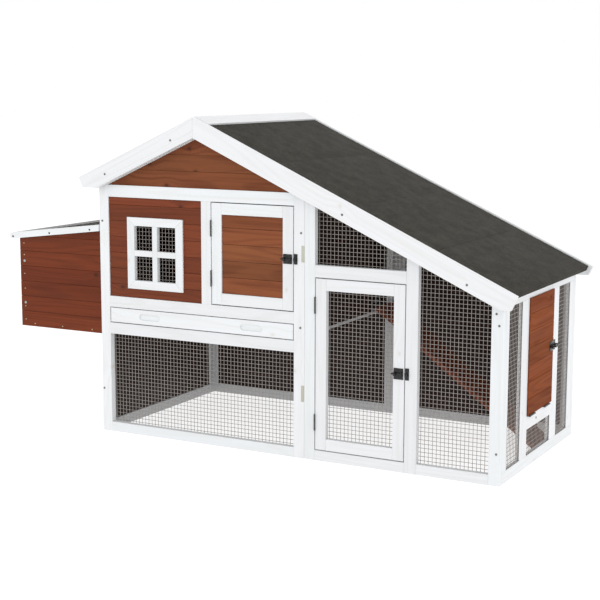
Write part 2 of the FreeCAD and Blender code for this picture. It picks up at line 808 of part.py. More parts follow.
def local_box(x, y, z, dx, dy, dz):
    thing = box(dx, dy, dz)
    bind(thing, "Placement.Base.x", x)
    bind(thing, "Placement.Base.y", y)
    bind(thing, "Placement.Base.z", z)
    return thing


def leaf(fixed, reach, start, gap):
    """One leaf of a butt hinge about its own z axis: the plate lies along y in the gap between the
    two boards, the fixed one on the -x side with the two outer knuckles, the other with the middle."""
    third = D.hinge_length * (1 / 3)
    play = D.seam
    x = gap * -0.5 + play * 0.5 if fixed else gap * 0.5 - D.leaf_t - play * 0.5
    spans = [(third + play, third - play * 2)]
    if fixed:
        spans = [(ORIGIN, third - play), (third * 2 + play, third - play)]
    parts = [local_box(x, start, ORIGIN, D.leaf_t, reach - start, D.hinge_length)]
    for low, length in spans:
        ring = cylinder(D.knuckle_r, length)
        bind(ring, "Placement.Base.z", low)
        parts.append(ring)
        parts.append(local_box(x, D.pin_r, low, D.leaf_t, start, length))
    past_end = 1
    bore = cylinder(D.pin_r + D.pin_play, D.hinge_length + past_end * 2)
    bind(bore, "Placement.Base.z", mm(-past_end))
    return cut(fuse(parts), bore)


def hinge(at, turn, fixed_reach, moving_reach, gap=None):
    """The fixed leaf, the pin and the moving leaf of one hinge, placed. gap is the boards' distance."""
    start = D.knuckle_r + D.seam * 3
    between = gap or D.door_gap
    leaves = [leaf(True, fixed_reach, start, between), leaf(False, moving_reach, start, between)]
    pin = cylinder(D.pin_r, D.hinge_length)
    placed = [put(thing, *at, turn) for thing in (leaves[0], pin, leaves[1])]
    return placed[:2], placed[2]


# --- barrel bolts ------------------------------------------------------------------------------

BOLT_ON_DOOR = FreeCAD.Rotation()
BOLT_ON_END = FreeCAD.Rotation(V(0, 1, 0), V(-1, 0, 0), V(0, 0, 1), "XYZ")
GUIDE_W = D.bolt_rod_r * 2 - 1
SIDEWAYS = FreeCAD.Rotation(ALONG_Y, 90)
OUTWARDS = FreeCAD.Rotation(V(1, 0, 0), 90)


def bored_block(x, width):
    """A block standing on the plate, bored for the rod."""
    half = D.bolt_rod_r + 2.5
    block = local_box(x, -D.bolt_height - half, -half, width, D.bolt_height + half - D.bolt_plate_t * 0.5,
                      half * 2)
    bore = cylinder(D.bolt_rod_r + D.pin_play, width + 2)
    bore.Placement = FreeCAD.Placement(V(0, 0, 0), SIDEWAYS)
    bind(bore, "Placement.Base.x", x - 1)
    bind(bore, "Placement.Base.y", -D.bolt_height)
    return cut(block, bore)


def bolt(at, turn, plate_h):
    """Plate with two guides, rod with its knob, and keeper. The rod rests drawn back."""
    half_h = plate_h * 0.5
    skin = D.seam * 0.5
    plate = local_box(ORIGIN, -D.bolt_plate_t, -half_h, D.bolt_plate_w, D.bolt_plate_t - skin,
                      half_h * 2)
    plate = fuse([plate, bored_block(ORIGIN + 2, GUIDE_W), bored_block(D.bolt_plate_w - 6, GUIDE_W)])
    rod = cylinder(D.bolt_rod_r, D.bolt_plate_w + D.rod_tail)
    rod.Placement = FreeCAD.Placement(V(0, 0, 0), SIDEWAYS)
    bind(rod, "Placement.Base.x", -D.rod_tail)
    bind(rod, "Placement.Base.y", -D.bolt_height)
    knob = cylinder(D.bolt_rod_r - 0.5, D.bolt_height + 7)
    knob.Placement = FreeCAD.Placement(V(0, 0, 0), OUTWARDS)
    bind(knob, "Placement.Base.x", D.bolt_rod_r + 7.6)
    bind(knob, "Placement.Base.y", -D.bolt_height)
    keeper = local_box(D.keeper_x, -D.bolt_plate_t, -half_h, D.keeper_w, D.bolt_plate_t - skin,
                       half_h * 2 + 2)
    keeper = fuse([keeper, bored_block(D.keeper_x + 3, D.keeper_w - 6)])
    return [put(thing, *at, turn) for thing in (plate, fuse([rod, knob]), keeper)]


# --- doors -------------------------------------------------------------------------------------


def door_frame(x0, x1, z0, z1):
    """Two stiles the full height with two rails between them."""
    y0, y1 = ORIGIN, D.door_t
    side = D.door_member_w
    return [
        board(x0, x0 + side, y0, y1, z0, z1),
        board(x1 - side, x1, y0, y1, z0, z1),
        board(x0 + side, x1 - side, y0, y1, z0, z0 + side),
        board(x0 + side, x1 - side, y0, y1, z1 - side, z1),
    ]


HINGE_Y = -D.knuckle_r - D.seam * 2
LEAF_REACH = D.knuckle_r + 18
HOUSE_DOOR = (DOOR_STILE_END, D.house_stile_x, D.clad_z, D.top_rail_z)
RUN_DOOR = (RUN_DOOR_X, D.run_stile_x, D.bottom_rail_h, D.run_door_top_z)
HOUSE_HINGES_Z = (517, 676)
RUN_HINGES_Z = (95, 460)
HOUSE_BOLT = (621, mm(30))  # the height of its middle, the height of its plate
RUN_BOLT = (301, mm(34))
RAMP_BOLT = (342, mm(30))
RAMP_HINGES_Y = (288, 430)
LID_HINGES_Y = (180, 565)


def doors():
    gap = D.door_gap
    fixed, keepers = [], []
    kinds = (
        ("house_door", HOUSE_DOOR, HOUSE_HINGES_Z, HOUSE_BOLT),
        ("run_door", RUN_DOOR, RUN_HINGES_Z, RUN_BOLT),
    )
    for name, (x0, x1, z0, z1), hinges_z, (bolt_z, plate_h) in kinds:
        inner = (x0 + gap, x1 - gap, z0 + gap, z1 - gap)
        node(f"{name}_frame", group(door_frame(*inner)))
        side = D.door_member_w
        pane = (inner[0] + side, inner[1] - side, inner[2] + side, inner[3] - side)
        if name == "house_door":
            node("house_door_cladding", group(planks(pane[0], pane[1], *PLANKS_Y, pane[2], pane[3])))
        else:
            lap = D.mesh_overlap
            node("run_door_mesh", wire_panel("RunDoorMesh", (pane[0] - lap, pane[1] + lap),
                                             (pane[2] - lap, pane[3] + lap), D.door_t + D.seam, "Y"))
        moving = []
        for z in hinges_z:
            at = (x0 + gap * 0.5, HINGE_Y, mm(z))
            still, swings = hinge(at, TO_DOOR, LEAF_REACH, LEAF_REACH)
            fixed += still
            moving.append(swings)
        node(f"{name}_hinge_leaves", group(moving))
        bolt_x = inner[1] - D.bolt_inset - D.bolt_plate_w
        plate, rod, keeper = bolt((bolt_x, ORIGIN - D.seam * 0.5, mm(bolt_z)), BOLT_ON_DOOR, plate_h)
        node(f"{name}_bolt_plate", plate)
        node(f"{name}_bolt_rod", rod)
        keepers.append(keeper)
    return fixed, keepers


def ramp_door():
    """The planked flap of the run end, hinged at its foot, with treads for when it lies open."""
    x0 = D.body_length + D.seam * 2
    x1 = x0 + D.ramp_door_t
    y0, y1 = D.ramp_door_y, D.ramp_door_y + D.ramp_door_w
    skin = planks(x0, x1, y0, y1, D.ramp_door_z, D.ramp_door_top_z)
    node("ramp_door_planks", group(skin))
    clear = D.door_gap
    in_y0, in_y1 = D.end_door_y + clear, D.end_door_y + D.end_door_w - clear
    upright_w = D.post_w * 0.5
    tread_t = D.ramp_door_t + 2
    uprights = [
        board(x0 - tread_t, x0, a, a + upright_w, D.ramp_door_z + 6, D.end_bay_top_z - 4)
        for a in (in_y0, in_y1 - upright_w)
    ]
    treads = [
        board(x0 - tread_t, x0, in_y0 + upright_w, in_y1 - upright_w, D.ramp_door_z + low,
              D.ramp_door_z + low + 12)
        for low in (60, 120, 180, 240, 300)
    ]
    node("ramp_door_treads", group(uprights + treads))
    fixed, moving = [], []
    for y in RAMP_HINGES_Y:
        at = (x1 + D.knuckle_r + D.seam, mm(y), D.end_sill_top_z + D.door_gap * 0.5)
        still, swings = hinge(at, TO_RAMP_DOOR, LEAF_REACH, D.knuckle_r + D.ramp_door_t - 1)
        fixed += still
        moving.append(swings)
    node("ramp_door_hinge_leaves", group(moving))
    bolt_z, plate_h = RAMP_BOLT
    at = (x1 + D.seam * 0.5, y1 - D.bolt_inset - D.bolt_plate_w, mm(bolt_z))
    plate, rod, keeper = bolt(at, BOLT_ON_END, plate_h)
    node("ramp_door_bolt_plate", plate)
    node("ramp_door_bolt_rod", rod)
    return fixed, keeper


def keeper_packer():
    """A packing block that brings the ramp door's keeper out to the level of its bolt."""
    bolt_z, plate_h = RAMP_BOLT
    x0 = D.body_length
    y0 = D.ramp_door_y + D.ramp_door_w - D.bolt_inset - D.bolt_plate_w + D.keeper_x
    z0 = mm(bolt_z) - plate_h * 0.5
    return board(x0, x0 + D.ramp_door_t + D.seam * 2, y0, y0 + D.keeper_w, z0, z0 + plate_h + 2)


# --- droppings tray ----------------------------------------------------------------------------


def tray():
    """A planed front with two routed finger slots, and a folded sheet pan behind it."""
    width = D.house_stile_x - D.post_w - D.door_gap * 2
    body = doc.addObject("PartDesign::Body", "TrayFront")
    plane = next(f for f in body.Origin.OriginFeatures if f.Role == "XZ_Plane")
    outline = body.newObject("Sketcher::SketchObject", "TrayOutline")
    outline.AttachmentSupport = [(plane, "")]
    outline.MapMode = "FlatFace"
    corners = [V(0, 0, 0), V(width.value, 0, 0), V(width.value, D.tray_h.value, 0), V(0, D.tray_h.value, 0)]
    for start, end in zip(corners, corners[1:] + corners[:1]):
        outline.addGeometry(Part.LineSegment(start, end), False)
    for i in range(4):
        outline.addConstraint(Sketcher.Constraint("Coincident", i, 2, (i + 1) % 4, 1))
    for i, kind in enumerate(("Horizontal", "Vertical", "Horizontal", "Vertical")):
        outline.addConstraint(Sketcher.Constraint(kind, i))
    outline.addConstraint(Sketcher.Constraint("Coincident", 0, 1, -1, 1))
    for kind, line, size in (("DistanceX", 0, width), ("DistanceY", 1, D.tray_h)):
        index = outline.addConstraint(Sketcher.Constraint(kind, line, 1, line, 2, size.value))
        outline.setExpression(f"Constraints[{index}]", size.text)
    pad = body.newObject("PartDesign::Pad", "TrayPad")
    pad.Profile = outline
    bind(pad, "Length", D.door_t)
    slots = body.newObject("Sketcher::SketchObject", "FingerSlots")
    slots.AttachmentSupport = [(plane, "")]
    slots.MapMode = "FlatFace"
    slots.setExpression("AttachmentOffset.Base.z", D.door_t.text)
    radius = D.slot_h * 0.5
    height = D.tray_h * 0.5
    for centre in (D.slot_1_x, D.slot_2_x):
        mid = centre - D.post_w - D.door_gap
        half = (D.slot_w - D.slot_h) * 0.5
        add_slot(slots, mid - half, mid + half, height, radius)
    pocket = body.newObject("PartDesign::Pocket", "SlotPocket")
    pocket.Profile = slots
    bind(pocket, "Length", D.slot_depth)
    z = D.tray_slot_z + D.door_gap
    node("tray_front", put(body, D.post_w + D.door_gap, D.door_t, z))
    y0 = D.door_t + D.seam
    low = RUNNER_TOP_Z + D.seam * 3
    inset = 2
    pan_x = D.post_w + D.door_gap + inset
    pan_w = width - inset * 2
    outer = put(box(pan_w, D.tray_reach - y0, D.pan_h), pan_x, y0, low)
    inner = put(box(pan_w - D.pan_t * 2, D.tray_reach - y0 - D.pan_t * 2, D.pan_h),
                pan_x + D.pan_t, y0 + D.pan_t, low + D.pan_t)
    node("tray_pan", cut(outer, inner))


def add_slot(sketch, x0, x1, height, radius):
    """A round-ended slot: two arcs joined by two lines."""
    a, b, r = V(x0.value, height.value, 0), V(x1.value, height.value, 0), radius.value
    half = math.pi / 2
    up = V(0, 0, 1)
    left = sketch.addGeometry(Part.ArcOfCircle(Part.Circle(a, up, r), half, 3 * half), False)
    right = sketch.addGeometry(Part.ArcOfCircle(Part.Circle(b, up, r), -half, half), False)
    low = sketch.addGeometry(Part.LineSegment(a - V(0, r, 0), b - V(0, r, 0)), False)
    high = sketch.addGeometry(Part.LineSegment(b + V(0, r, 0), a + V(0, r, 0)), False)
    for pair in ((left, 2, low, 1), (low, 2, right, 1), (right, 2, high, 1), (high, 2, left, 1)):
        sketch.addConstraint(Sketcher.Constraint("Tangent", *pair))
    for kind, arc, size in (
        ("DistanceX", left, x0),
        ("DistanceY", left, height),
        ("DistanceX", right, x1),
    ):
        index = sketch.addConstraint(Sketcher.Constraint(kind, -1, 1, arc, 3, size.value))
        sketch.setExpression(f"Constraints[{index}]", size.text)
    index = sketch.addConstraint(Sketcher.Constraint("Radius", left, radius.value))
    sketch.setExpression(f"Constraints[{index}]", radius.text)


# --- nest box ----------------------------------------------------------------------------------


def nest_box():
    x0, x1 = D.nest_end_x, ORIGIN - D.seam
    t = D.nest_t
    y0, y1 = D.nest_y, D.body_depth - D.nest_y
    lid_low = D.lid_top_z - over_cos(D.lid_trim_h, D.lid_pitch) - D.seam * 3
    above_lid = put(box(D.lid_length * 2, D.body_depth * 2, D.lid_length),
                    ORIGIN - cos(D.lid_pitch) * D.lid_length - cos(D.lid_pitch) * D.lid_length * 0.5,
                    y0 - 200,
                    lid_low - sin(D.lid_pitch) * D.lid_length - sin(D.lid_pitch) * D.lid_length * 0.5,
                    FreeCAD.Rotation(ALONG_Y, -D.lid_pitch.value))
    bind(above_lid, "Placement.Rotation.Angle", -D.lid_pitch)
    top = D.nest_high_z + 30
    sides = planks(x0, x1, y0, y0 + t, D.nest_z, top)
    sides += planks(x0, x1, y1 - t, y1, D.nest_z, top)
    node("nest_box_sides", cut(group(sides), above_lid))
    end = planks(x0, x0 + t, y0 + t, y1 - t, D.nest_z, top)
    node("nest_box_end", cut(group(end), above_lid))
    floor = board(x0 + t, x1, y0 + t, y1 - t, D.nest_z + 4, D.nest_z + 4 + t)
    node("nest_box_floor", floor)
    on_floor = D.nest_z + t + 4
    post = D.nest_post_w
    posts = [
        board(a, a + post, b, b + post, on_floor, top)
        for a in (x0 + t, x1 - post)
        for b in (y0 + t, y1 - t - post)
    ]
    node("nest_box_posts", cut(group(posts), above_lid))
    middle = D.body_depth * 0.5
    partition = board(x0 + t, x1 - 2, middle - t * 0.5, middle + t * 0.5, on_floor, on_floor + 170)
    node("nest_box_partition", partition)


def on_lid(start, end, y0, y1, low, high):
    """A box on the lid: start and end down the lid from the wall, low and high from its top."""
    thing = box(end - start, y1 - y0, high - low)
    x = ORIGIN - D.lid_wall_gap - cos(D.lid_pitch) * end - sin(D.lid_pitch) * low
    z = D.lid_top_z - sin(D.lid_pitch) * end + cos(D.lid_pitch) * low
    put(thing, x, y0, z, FreeCAD.Rotation(ALONG_Y, -D.lid_pitch.value))
    bind(thing, "Placement.Rotation.Angle", -D.lid_pitch)
    return thing


def clear_of_wall(thing):
    """Cut the lid's upper end plumb, a hinge's thickness from the wall."""
    wall_side = put(box(D.nest_t * 4, D.body_depth * 2, D.ridge_z), -D.lid_wall_gap - D.seam, mm(-300),
                    ORIGIN)
    return cut(thing, wall_side)


def nest_lid():
    t = D.lid_trim_t
    y0, y1 = ORIGIN, D.body_depth
    gap = D.seam
    in_y0, in_y1 = y0 + t + gap, y1 - t - gap
    end = D.lid_length - t
    felt_low = -D.lid_recess - D.felt_t
    over = -D.lid_trim_h
    panel = on_lid(over, end - gap, in_y0, in_y1, felt_low - gap - D.lid_board_t, felt_low - gap)
    felt = on_lid(over, end - gap, in_y0, in_y1, felt_low, -D.lid_recess)
    node("nest_lid_board", clear_of_wall(panel))
    node("nest_lid_felt", clear_of_wall(felt))
    trims = [
        on_lid(over, D.lid_length, y0, y0 + t, -D.lid_trim_h, ORIGIN),
        on_lid(over, D.lid_length, y1 - t, y1, -D.lid_trim_h, ORIGIN),
        on_lid(end, D.lid_length, in_y0, in_y1, -D.lid_trim_h, ORIGIN),
    ]
    node("nest_lid_trims", clear_of_wall(group(trims)))
    fixed, moving = [], []
    for y in LID_HINGES_Y:
        at = (ORIGIN - D.lid_wall_gap * 0.5, mm(y), D.lid_top_z + D.knuckle_r + 1)
        reach = D.knuckle_r + D.lid_recess + 13
        still, swings = hinge(at, TO_LID, D.knuckle_r + 14, reach, D.lid_wall_gap)
        fixed += still
        moving.append(swings)
    node("nest_lid_hinge_leaves", group(moving))
    return fixed


# --- ramp in the run ---------------------------------------------------------------------------


def on_ramp(start, end, y0, y1, low, high):
    """A box on the ramp: start and end up the ramp from its foot, low and high from its underside."""
    thing = box(end - start, y1 - y0, high - low)
    x = D.ramp_foot_x - cos(D.ramp_pitch) * end + sin(D.ramp_pitch) * low
    z = D.seam + sin(D.ramp_pitch) * end + cos(D.ramp_pitch) * low
    put(thing, x, y0, z, FreeCAD.Rotation(ALONG_Y, D.ramp_pitch.value))
    bind(thing, "Placement.Rotation.Angle", D.ramp_pitch)
    return thing


def ramp():
    y0, y1 = D.ramp_y, D.ramp_y + D.ramp_w
    node("ramp_board", on_ramp(ORIGIN, D.ramp_length, y0, y1, ORIGIN, D.ramp_t))
    top = D.ramp_t + D.seam
    treads = [
        on_ramp(D.seam + start, D.seam + start + 12, y0 + 4, y1 - 4, top, top + 8)
        for start in range(50, int(D.ramp_length.value) - 30, 72)
    ]
    node("ramp_treads", group(treads))


# --- fasteners ---------------------------------------------------------------------------------

HEAD_R = 3.6
HEAD_T = 1.2
SCREW_PLACES = ((10.5, 705), (6, 144), (749, 703), (747, 411), (1388, 471.5), (1388, 95), (1379, 505.5))
RAKE_SCREW_PLACES = ((46.5, 860), (300, 974), (902, 768.5), (1299, 587))
NEST_NAILS_Z = (348, 394, 455, 506, 571, 611)
NEST_BOLTS_Z = (406, 550)
NEST_NAILS_X = (-290, -173, -50)
LID_SCREWS = (37.5, 205.5, 361.5)


def head(x, y, z, radius, turn):
    """A fastener's head standing a little proud of a board."""
    thing = cylinder(radius, HEAD_T)
    return put(thing, ORIGIN + x, ORIGIN + y, ORIGIN + z, turn)


def fasteners():
    turn = OUTWARDS
    front = -D.seam * 0.5 + 0.05
    screws = [head(x, front, z, HEAD_R, turn) for x, z in SCREW_PLACES]
    rake_y = ROOF_FRONT_Y - D.rake_t - D.seam * 0.5
    screws += [head(x, rake_y, z, HEAD_R, turn) for x, z in RAKE_SCREW_PLACES]
    end_face = head(D.body_length + D.seam * 0.5, 317, 138, HEAD_R, SIDEWAYS)
    node("frame_screws", group(screws + [end_face]))
    nest_y = D.nest_y + 0.05
    post_x = D.nest_end_x + D.nest_t + 6
    nails = [head(post_x, nest_y, z, 2.2, turn) for z in NEST_NAILS_Z]
    nails += [head(x, nest_y, 335, 2.2, turn) for x in NEST_NAILS_X]
    node("nest_box_nails", group(nails))
    node("nest_box_bolts", group([head(post_x, nest_y, z, 4.5, turn) for z in NEST_BOLTS_Z]))
    lid_screws = []
    for along in LID_SCREWS:
        x = ORIGIN - D.lid_wall_gap - cos(D.lid_pitch) * along
        z = D.lid_top_z - sin(D.lid_pitch) * along - D.lid_trim_h * 0.65
        lid_screws.append(head(x, ORIGIN - D.seam * 0.5, z, 3.2, turn))
    node("nest_lid_screws", group(lid_screws))


house_front()
node("house_front_mesh", group([window(), house_lower_mesh()]))
run_front()
run_end()
left_wall()
back_wall()
divider()
house_inside()
roof()
rakes()
door_hinges, bolt_keepers = doors()
flap_hinges, flap_keeper = ramp_door()
node("door_hinge_fixed_leaves", group(door_hinges + flap_hinges))
node("bolt_keepers", group(bolt_keepers + [flap_keeper]))
tray()
nest_box()
node("nest_lid_hinge_fixed_leaves", group(nest_lid()))
ramp()
fasteners()

doc.recompute()
for thing in doc.Objects:
    if "Invalid" in thing.State or "Error" in thing.State:
        raise RuntimeError(f"{thing.Name} ({thing.Label}) is {thing.State}")
os.makedirs("parts", exist_ok=True)
for thing in NODES:
    if thing.Shape.isNull() or not thing.Shape.isValid():
        raise RuntimeError(f"{thing.Label} has no valid shape")
    if not thing.Shape.Solids:
        raise RuntimeError(f"{thing.Label} has no solid")
    thing.Shape.exportStep(f"parts/{thing.Label}.step")
print(f"{len(NODES)} nodes, {sum(len(thing.Shape.Solids) for thing in NODES)} solids")
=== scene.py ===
import json
import math
import random

import bmesh
import bpy
from mathutils import Matrix, Vector


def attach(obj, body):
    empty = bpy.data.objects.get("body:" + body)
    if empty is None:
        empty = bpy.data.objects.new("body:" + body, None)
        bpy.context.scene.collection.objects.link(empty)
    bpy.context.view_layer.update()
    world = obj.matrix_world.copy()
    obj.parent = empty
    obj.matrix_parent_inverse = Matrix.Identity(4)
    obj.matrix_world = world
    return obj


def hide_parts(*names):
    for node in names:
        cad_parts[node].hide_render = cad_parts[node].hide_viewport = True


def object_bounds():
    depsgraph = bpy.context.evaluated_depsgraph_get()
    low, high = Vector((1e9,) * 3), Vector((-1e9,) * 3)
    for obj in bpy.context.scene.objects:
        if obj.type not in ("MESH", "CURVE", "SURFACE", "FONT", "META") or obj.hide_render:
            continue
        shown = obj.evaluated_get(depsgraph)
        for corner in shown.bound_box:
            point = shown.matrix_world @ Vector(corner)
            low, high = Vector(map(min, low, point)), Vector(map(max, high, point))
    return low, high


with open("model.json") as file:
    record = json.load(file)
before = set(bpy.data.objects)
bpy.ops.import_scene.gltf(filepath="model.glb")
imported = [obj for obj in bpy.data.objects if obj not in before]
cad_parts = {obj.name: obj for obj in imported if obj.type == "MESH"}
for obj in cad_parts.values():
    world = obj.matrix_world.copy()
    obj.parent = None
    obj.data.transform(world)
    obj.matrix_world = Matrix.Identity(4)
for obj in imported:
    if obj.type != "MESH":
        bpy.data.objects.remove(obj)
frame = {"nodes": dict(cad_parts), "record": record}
cad_low, cad_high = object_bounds()

RECORD = frame["record"]
BODY_OF = {node: body for body, nodes in RECORD["behaviour"]["bodies"].items() for node in nodes}
MM = 0.001
SHARP = math.radians(35)  # an edge that turns by more than this is a real corner
BEVEL_SEGMENTS = 2
HEAD_SIDES = 24


# --- shaders -----------------------------------------------------------------------------------


class Shader:
    """A material's node tree, built with short calls. Inputs are numbers, colours or sockets."""

    def __init__(self, name, roughness, metallic=0.0, specular=0.5):
        self.material = bpy.data.materials.new(name)
        self.material.use_nodes = True
        self.tree = self.material.node_tree
        self.tree.nodes.clear()
        output = self.tree.nodes.new("ShaderNodeOutputMaterial")
        self.surface = self.tree.nodes.new("ShaderNodeBsdfPrincipled")
        self.tree.links.new(self.surface.outputs["BSDF"], output.inputs["Surface"])
        self.surface.inputs["Metallic"].default_value = metallic
        self.surface.inputs["Specular IOR Level"].default_value = specular
        self.feed(self.surface.inputs["Roughness"], roughness)

    def feed(self, socket, value):
        if isinstance(value, bpy.types.NodeSocket):
            self.tree.links.new(value, socket)
        elif isinstance(value, (tuple, list)) and socket.type == "RGBA":
            socket.default_value = (*value, 1.0)
        else:
            socket.default_value = value

    def node(self, kind, inputs=None, **settings):
        made = self.tree.nodes.new(kind)
        for name, value in settings.items():
            setattr(made, name, value)
        for key, value in (inputs or {}).items():
            self.feed(made.inputs[key], value)
        return made

    def attribute(self, name):
        return self.node("ShaderNodeAttribute", attribute_name=name)

    def place(self):
        return self.node("ShaderNodeTexCoord").outputs["Object"]

    def maths(self, operation, a, b=0.0, c=0.0):
        return self.node("ShaderNodeMath", {0: a, 1: b, 2: c}, operation=operation).outputs[0]

    def stretch(self, vector, x, y, z):
        made = self.node("ShaderNodeVectorMath", {0: vector, 1: (x, y, z)}, operation="MULTIPLY")
        return made.outputs[0]

    def shifted(self, vector, x, y, z):
        offset = self.node("ShaderNodeCombineXYZ", {0: x, 1: y, 2: z}).outputs[0]
        return self.node("ShaderNodeVectorMath", {0: vector, 1: offset}, operation="ADD").outputs[0]

    def noise(self, vector, scale=1.0, detail=2.0, roughness=0.5):
        inputs = {"Vector": vector, "Scale": scale, "Detail": detail, "Roughness": roughness}
        return self.node("ShaderNodeTexNoise", inputs).outputs["Fac"]

    def flat_cells(self, vector):
        """Distance to the nearest of some points scattered in the plane."""
        made = self.node("ShaderNodeTexVoronoi", {"Vector": vector, "Scale": 1.0},
                         voronoi_dimensions="2D")
        return made.outputs["Distance"]

    def fade(self, value, start, end, low=0.0, high=1.0):
        """Goes smoothly from low at start to high at end."""
        inputs = {"Value": value, 1: start, 2: end, 3: low, 4: high}
        made = self.node("ShaderNodeMapRange", inputs, interpolation_type="SMOOTHSTEP")
        return made.outputs["Result"]

    def mix(self, amount, a, b, blend="MIX"):
        inputs = {0: amount, 6: a, 7: b}
        made = self.node("ShaderNodeMix", inputs, data_type="RGBA", blend_type=blend)
        return made.outputs[2]

    def grey(self, value):
        return self.node("ShaderNodeCombineColor", {0: value, 1: value, 2: value}).outputs[0]

    def finish(self, colour, height=None, depth=0.0):
        self.feed(self.surface.inputs["Base Color"], colour)
        if height is not None:
            inputs = {"Height": height, "Distance": depth, "Strength": 1.0}
            bump = self.node("ShaderNodeBump", inputs)
            self.feed(self.surface.inputs["Normal"], bump.outputs["Normal"])
        return self.material


def wood(name, pale, deep, knot, bare, figure, fibre, knots, wear, spread, gloss, sheen, painted_inner_shade=1.0):
    """Sawn softwood under a thin finish, each board of its own tone and hue.

    The attribute "grain" runs along x on every board. Faces with the attribute "inner" look into the
    coop, and get painted shade: their colour is multiplied by the given inner shade factor."""
    shader = Shader(name, 0.5, specular=sheen)
    grain = shader.attribute("grain").outputs["Vector"]
    tone = shader.attribute("tone").outputs["Fac"]
    edge = shader.attribute("edge").outputs["Fac"]
    end = shader.attribute("end").outputs["Fac"]
    inner = shader.attribute("inner").outputs["Fac"]

    from_knot = shader.flat_cells(shader.stretch(grain, 3.4, 4.8, 0.0))
    near_knot = shader.fade(from_knot, 0.22, 0.0)
    bent = shader.shifted(grain, 0.0, shader.maths("MULTIPLY", near_knot, 0.014), 0.0)
    contour = shader.noise(shader.stretch(bent, 1.1, 15.0, 15.0), detail=1.0)
    rings = shader.maths("SINE", shader.maths("MULTIPLY", contour, 2 * math.pi * 9))
    rings = shader.fade(rings, -0.2, 1.0)
    fibres = shader.noise(shader.stretch(bent, 16.0, 800.0, 800.0), detail=2.0)
    streaks = shader.noise(shader.stretch(bent, 2.2, 85.0, 85.0), detail=3.0, roughness=0.6)
    blotches = shader.noise(shader.stretch(grain, 3.0, 14.0, 14.0), detail=2.0)

    depth = shader.maths("MULTIPLY", rings, figure)
    depth = shader.maths("MULTIPLY_ADD", fibres, fibre, depth)
    depth = shader.maths("MULTIPLY_ADD", shader.fade(streaks, 0.42, 0.75), figure, depth)
    depth = shader.maths("MULTIPLY_ADD", shader.fade(blotches, 0.4, 0.75), figure * 0.35, depth)
    depth = shader.maths("MULTIPLY_ADD", shader.fade(streaks, 0.42, 0.28), -figure * 0.5, depth)
    colour = shader.mix(depth, pale, deep)
    rim = shader.fade(from_knot, 0.062, 0.030)
    core = shader.fade(from_knot, 0.034, 0.012)
    colour = shader.mix(shader.maths("MULTIPLY", rim, knots * 0.5), colour, deep)
    colour = shader.mix(shader.maths("MULTIPLY", core, knots), colour, knot)
    shade = shader.fade(tone, 0.0, 1.0, 1.0 - spread, 1.0)
    colour = shader.mix(1.0, colour, shader.grey(shade), "MULTIPLY")
    hue = shader.noise(shader.node("ShaderNodeCombineXYZ", {0: tone}).outputs[0], 9.0, 0.0)
    colour = shader.mix(shader.fade(hue, 0.35, 0.65, 0.0, spread * 2.0), colour,
                        shader.mix(1.0, colour, (0.94, 1.12, 1.10), "MULTIPLY"))
    scuffs = shader.noise(shader.stretch(grain, 9.0, 60.0, 60.0), detail=3.0)
    rubbed = shader.fade(scuffs, 0.50, 0.68)
    rubbed = shader.maths("MULTIPLY", rubbed, shader.maths("MULTIPLY", edge, wear))
    colour = shader.mix(rubbed, colour, bare)
    colour = shader.mix(shader.maths("MULTIPLY", end, 0.35), colour, deep)
    # painted shade: faces that look into the coop take their colour times the inner shade factor
    colour = shader.mix(inner, colour, shader.mix(1.0, colour, (painted_inner_shade, painted_inner_shade, painted_inner_shade), "MULTIPLY"))

    gloss_low, gloss_high = gloss
    roughness = shader.fade(streaks, 0.3, 0.8, gloss_low, gloss_high)
    shader.feed(shader.surface.inputs["Roughness"], roughness)
    height = shader.maths("MULTIPLY_ADD", rings, 0.5, fibres)
    return shader.finish(colour, height, 0.12 * MM)


WHITE_PAINT = wood(
    "white_painted_wood",
    pale=(0.82, 0.83, 0.855),
    deep=(0.705, 0.70, 0.68),
    knot=(0.56, 0.50, 0.40),
    bare=(0.56, 0.52, 0.43),
    figure=0.20,
    fibre=0.18,
    knots=0.26,
    wear=0.55,
    spread=0.05,
    gloss=(0.42, 0.58),
    sheen=0.3,
    painted_inner_shade=0.62,
)
RED_STAIN = wood(
    "red_stained_wood",
    pale=(0.232, 0.050, 0.0165),
    deep=(0.110, 0.024, 0.010),
    knot=(0.050, 0.018, 0.012),
    bare=(0.27, 0.10, 0.05),
    figure=0.26,
    fibre=0.32,
    knots=0.70,
    wear=0.35,
    spread=0.24,
    gloss=(0.45, 0.65),
    sheen=0.18,
    painted_inner_shade=0.07,
)
BROWN_STAIN = wood(
    "brown_stained_wood",
    pale=(0.285, 0.092, 0.038),
    deep=(0.150, 0.042, 0.020),
    knot=(0.060, 0.025, 0.015),
    bare=(0.36, 0.17, 0.09),
    figure=0.30,
    fibre=0.32,
    knots=0.70,
    wear=0.35,
    spread=0.22,
    gloss=(0.45, 0.65),
    sheen=0.08,
    painted_inner_shade=0.40,
)
NEST_STAIN = wood(
    "nest_box_stained_wood",
    pale=(0.202, 0.039, 0.0124),
    deep=(0.098, 0.020, 0.008),
    knot=(0.046, 0.016, 0.010),
    bare=(0.25, 0.09, 0.045),
    figure=0.26,
    fibre=0.32,
    knots=0.70,
    wear=0.35,
    spread=0.20,
    gloss=(0.45, 0.65),
    sheen=0.14,
)
# a darker, redder copy of the brown stain for the ramp door on the end: painted shade that offsets the
# side lamp's light and reflection there
RAMP_DOOR_SHADED_STAIN = wood(
    "ramp_door_stain_and_painted_shade",
    pale=(0.268, 0.068, 0.022),
    deep=(0.150, 0.036, 0.014),
    knot=(0.060, 0.022, 0.012),
    bare=(0.34, 0.15, 0.07),
    figure=0.30,
    fibre=0.32,
    knots=0.70,
    wear=0.30,
    spread=0.20,
    gloss=(0.50, 0.70),
    sheen=0.02,
    painted_inner_shade=0.40,
)
